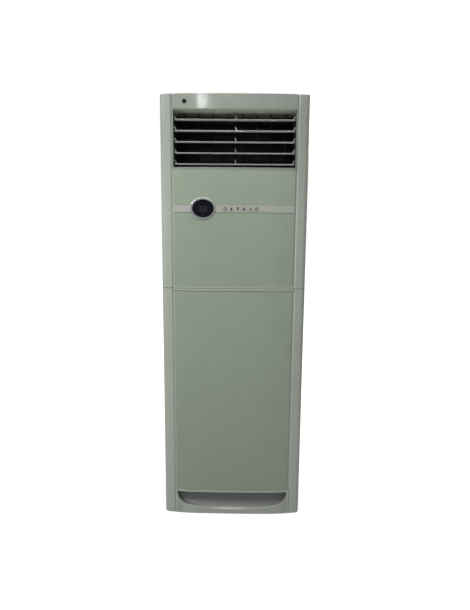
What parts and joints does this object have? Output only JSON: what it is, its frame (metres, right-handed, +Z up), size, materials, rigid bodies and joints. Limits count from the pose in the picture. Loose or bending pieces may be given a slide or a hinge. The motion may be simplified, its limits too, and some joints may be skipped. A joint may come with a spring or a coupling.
{
  "type": "floor standing air conditioner",
  "caption": "Tall grey-green floor standing air conditioner with a louvred outlet, an oval display, a button strip, glossy panels and a rounded toe recess.",
  "frame": {"origin": "on the floor, in the middle of the footprint", "axes": "+Z up, -Y out of the front towards the user, +X to the right as seen from the front"},
  "size_m": [0.6, 0.36, 1.79],
  "materials": {
    "column_plastic": "satin, light grey green",
    "gloss_panel": "glossy, grey green",
    "strip_plastic": "matt, light grey",
    "button_plastic": "matt, light grey",
    "bright_ring": "polished",
    "dark_lens": "glossy, near black",
    "louver_plastic": "matt, grey",
    "outlet_dark": "matt, dark grey",
    "case_paint": "satin, light grey",
    "zinc_sheet": "galvanised",
    "fin_aluminium": "mill",
    "copper_tube": null,
    "pan_plastic": "matt, dark",
    "fan_plastic": "matt, mid grey",
    "motor_paint": "satin, near black",
    "board": "green board",
    "filter_net": "matt, blue grey",
    "rubber": "matt",
    "screw_steel": "plated"
  },
  "bodies": {
    "cabinet": {"base_pan": "zinc_sheet", "rubber_feet": "rubber", "left_side_panel": "case_paint", "right_side_panel": "case_paint", "rear_panel": "case_paint", "case_screws": "screw_steel", "pipe_grommet": "rubber", "top_cover": "column_plastic", "upper_front_frame": "column_plastic", "outlet_frame": "column_plastic", "ir_receiver_lens": "dark_lens", "lower_front_frame": "column_plastic", "upper_gloss_panel": "gloss_panel", "middle_gloss_panel": "gloss_panel", "lower_gloss_panel": "gloss_panel", "control_strip": "strip_plastic", "display_bezel": "bright_ring", "display_lens": "dark_lens", "display_module": "board", "control_board": "board", "louver_comb": "outlet_dark", "outlet_duct": "outlet_dark", "air_deflector": "outlet_dark", "swing_motor": "zinc_sheet", "blower_housing": "fan_plastic", "motor_bracket": "zinc_sheet", "blower_motor": "motor_paint", "partition_plate": "zinc_sheet", "pipe_bay_plate": "zinc_sheet", "electric_box": "zinc_sheet", "evaporator_fins": "fin_aluminium", "evaporator_tubes": "copper_tube", "gas_pipe": "copper_tube", "liquid_pipe": "copper_tube", "drain_pan": "pan_plastic"},
    "louver_1": {"louver_1": "louver_plastic"},
    "louver_2": {"louver_2": "louver_plastic"},
    "louver_3": {"louver_3": "louver_plastic"},
    "louver_4": {"louver_4": "louver_plastic"},
    "louver_5": {"louver_5": "louver_plastic"},
    "vane_1": {"vane_1": "outlet_dark"},
    "vane_2": {"vane_2": "outlet_dark"},
    "vane_3": {"vane_3": "outlet_dark"},
    "vane_4": {"vane_4": "outlet_dark"},
    "vane_5": {"vane_5": "outlet_dark"},
    "vane_6": {"vane_6": "outlet_dark"},
    "vane_7": {"vane_7": "outlet_dark"},
    "vane_8": {"vane_8": "outlet_dark"},
    "vane_link": {"vane_link_bar": "outlet_dark"},
    "fan_wheel": {"blower_wheel": "fan_plastic"},
    "button_1": {"button_1": "button_plastic"},
    "button_2": {"button_2": "button_plastic"},
    "button_3": {"button_3": "button_plastic"},
    "button_4": {"button_4": "button_plastic"},
    "button_5": {"button_5": "button_plastic"},
    "button_6": {"button_6": "button_plastic"},
    "left_intake": {"left_intake_grille": "column_plastic", "left_air_filter": "filter_net"},
    "right_intake": {"right_intake_grille": "column_plastic", "right_air_filter": "filter_net"}
  },
  "joints": [
    {"name": "louver_1_tilt", "type": "hinge", "parent": "cabinet", "child": "louver_1", "pos_m": [0, -0.154, 1.708], "axis": [1, 0, 0], "range_deg": [-25, 20]},
    {"name": "louver_2_tilt", "type": "hinge", "parent": "cabinet", "child": "louver_2", "pos_m": [0, -0.154, 1.665], "axis": [1, 0, 0], "range_deg": [-25, 20]},
    {"name": "louver_3_tilt", "type": "hinge", "parent": "cabinet", "child": "louver_3", "pos_m": [0, -0.154, 1.622], "axis": [1, 0, 0], "range_deg": [-25, 20]},
    {"name": "louver_4_tilt", "type": "hinge", "parent": "cabinet", "child": "louver_4", "pos_m": [0, -0.154, 1.579], "axis": [1, 0, 0], "range_deg": [-25, 20]},
    {"name": "louver_5_tilt", "type": "hinge", "parent": "cabinet", "child": "louver_5", "pos_m": [0, -0.154, 1.536], "axis": [1, 0, 0], "range_deg": [-25, 20]},
    {"name": "vane_1_swing", "type": "hinge", "parent": "cabinet", "child": "vane_1", "pos_m": [-0.21, -0.072, 1.6215], "axis": [0, 0, 1], "range_deg": [-35, 35]},
    {"name": "vane_2_swing", "type": "hinge", "parent": "cabinet", "child": "vane_2", "pos_m": [-0.15, -0.072, 1.6215], "axis": [0, 0, 1], "range_deg": [-35, 35]},
    {"name": "vane_3_swing", "type": "hinge", "parent": "cabinet", "child": "vane_3", "pos_m": [-0.09, -0.072, 1.6215], "axis": [0, 0, 1], "range_deg": [-35, 35]},
    {"name": "vane_4_swing", "type": "hinge", "parent": "cabinet", "child": "vane_4", "pos_m": [-0.03, -0.072, 1.6215], "axis": [0, 0, 1], "range_deg": [-35, 35]},
    {"name": "vane_5_swing", "type": "hinge", "parent": "cabinet", "child": "vane_5", "pos_m": [0.03, -0.072, 1.6215], "axis": [0, 0, 1], "range_deg": [-35, 35]},
    {"name": "vane_6_swing", "type": "hinge", "parent": "cabinet", "child": "vane_6", "pos_m": [0.09, -0.072, 1.6215], "axis": [0, 0, 1], "range_deg": [-35, 35]},
    {"name": "vane_7_swing", "type": "hinge", "parent": "cabinet", "child": "vane_7", "pos_m": [0.15, -0.072, 1.6215], "axis": [0, 0, 1], "range_deg": [-35, 35]},
    {"name": "vane_8_swing", "type": "hinge", "parent": "cabinet", "child": "vane_8", "pos_m": [0.21, -0.072, 1.6215], "axis": [0, 0, 1], "range_deg": [-35, 35]},
    {"name": "link_pivot", "type": "hinge", "parent": "vane_1", "child": "vane_link", "pos_m": [-0.21, -0.054, 1.546], "axis": [0, 0, 1], "range_deg": [-35, 35]},
    {"name": "fan_spin", "type": "hinge", "parent": "cabinet", "child": "fan_wheel", "pos_m": [-0.016, 0.0685, 0.3], "axis": [0, 1, 0], "continuous": true},
    {"name": "button_1_press", "type": "slide", "parent": "cabinet", "child": "button_1", "axis": [0, 1, 0], "range_m": [0, 0.0012], "stiffness_N_per_m": 400},
    {"name": "button_2_press", "type": "slide", "parent": "cabinet", "child": "button_2", "axis": [0, 1, 0], "range_m": [0, 0.0012], "stiffness_N_per_m": 400},
    {"name": "button_3_press", "type": "slide", "parent": "cabinet", "child": "button_3", "axis": [0, 1, 0], "range_m": [0, 0.0012], "stiffness_N_per_m": 400},
    {"name": "button_4_press", "type": "slide", "parent": "cabinet", "child": "button_4", "axis": [0, 1, 0], "range_m": [0, 0.0012], "stiffness_N_per_m": 400},
    {"name": "button_5_press", "type": "slide", "parent": "cabinet", "child": "button_5", "axis": [0, 1, 0], "range_m": [0, 0.0012], "stiffness_N_per_m": 400},
    {"name": "button_6_press", "type": "slide", "parent": "cabinet", "child": "button_6", "axis": [0, 1, 0], "range_m": [0, 0.0012], "stiffness_N_per_m": 400},
    {"name": "left_intake_pull", "type": "slide", "parent": "cabinet", "child": "left_intake", "axis": [-1, 0, 0], "range_m": [0, 0.06]},
    {"name": "right_intake_pull", "type": "slide", "parent": "cabinet", "child": "right_intake", "axis": [1, 0, 0], "range_m": [0, 0.06]}
  ],
  "couplings": [
    {"joint": "vane_2_swing", "follows": "vane_1_swing", "ratio": 1},
    {"joint": "vane_3_swing", "follows": "vane_1_swing", "ratio": 1},
    {"joint": "vane_4_swing", "follows": "vane_1_swing", "ratio": 1},
    {"joint": "vane_5_swing", "follows": "vane_1_swing", "ratio": 1},
    {"joint": "vane_6_swing", "follows": "vane_1_swing", "ratio": 1},
    {"joint": "vane_7_swing", "follows": "vane_1_swing", "ratio": 1},
    {"joint": "vane_8_swing", "follows": "vane_1_swing", "ratio": 1},
    {"joint": "link_pivot", "follows": "vane_1_swing", "ratio": -1}
  ]
}
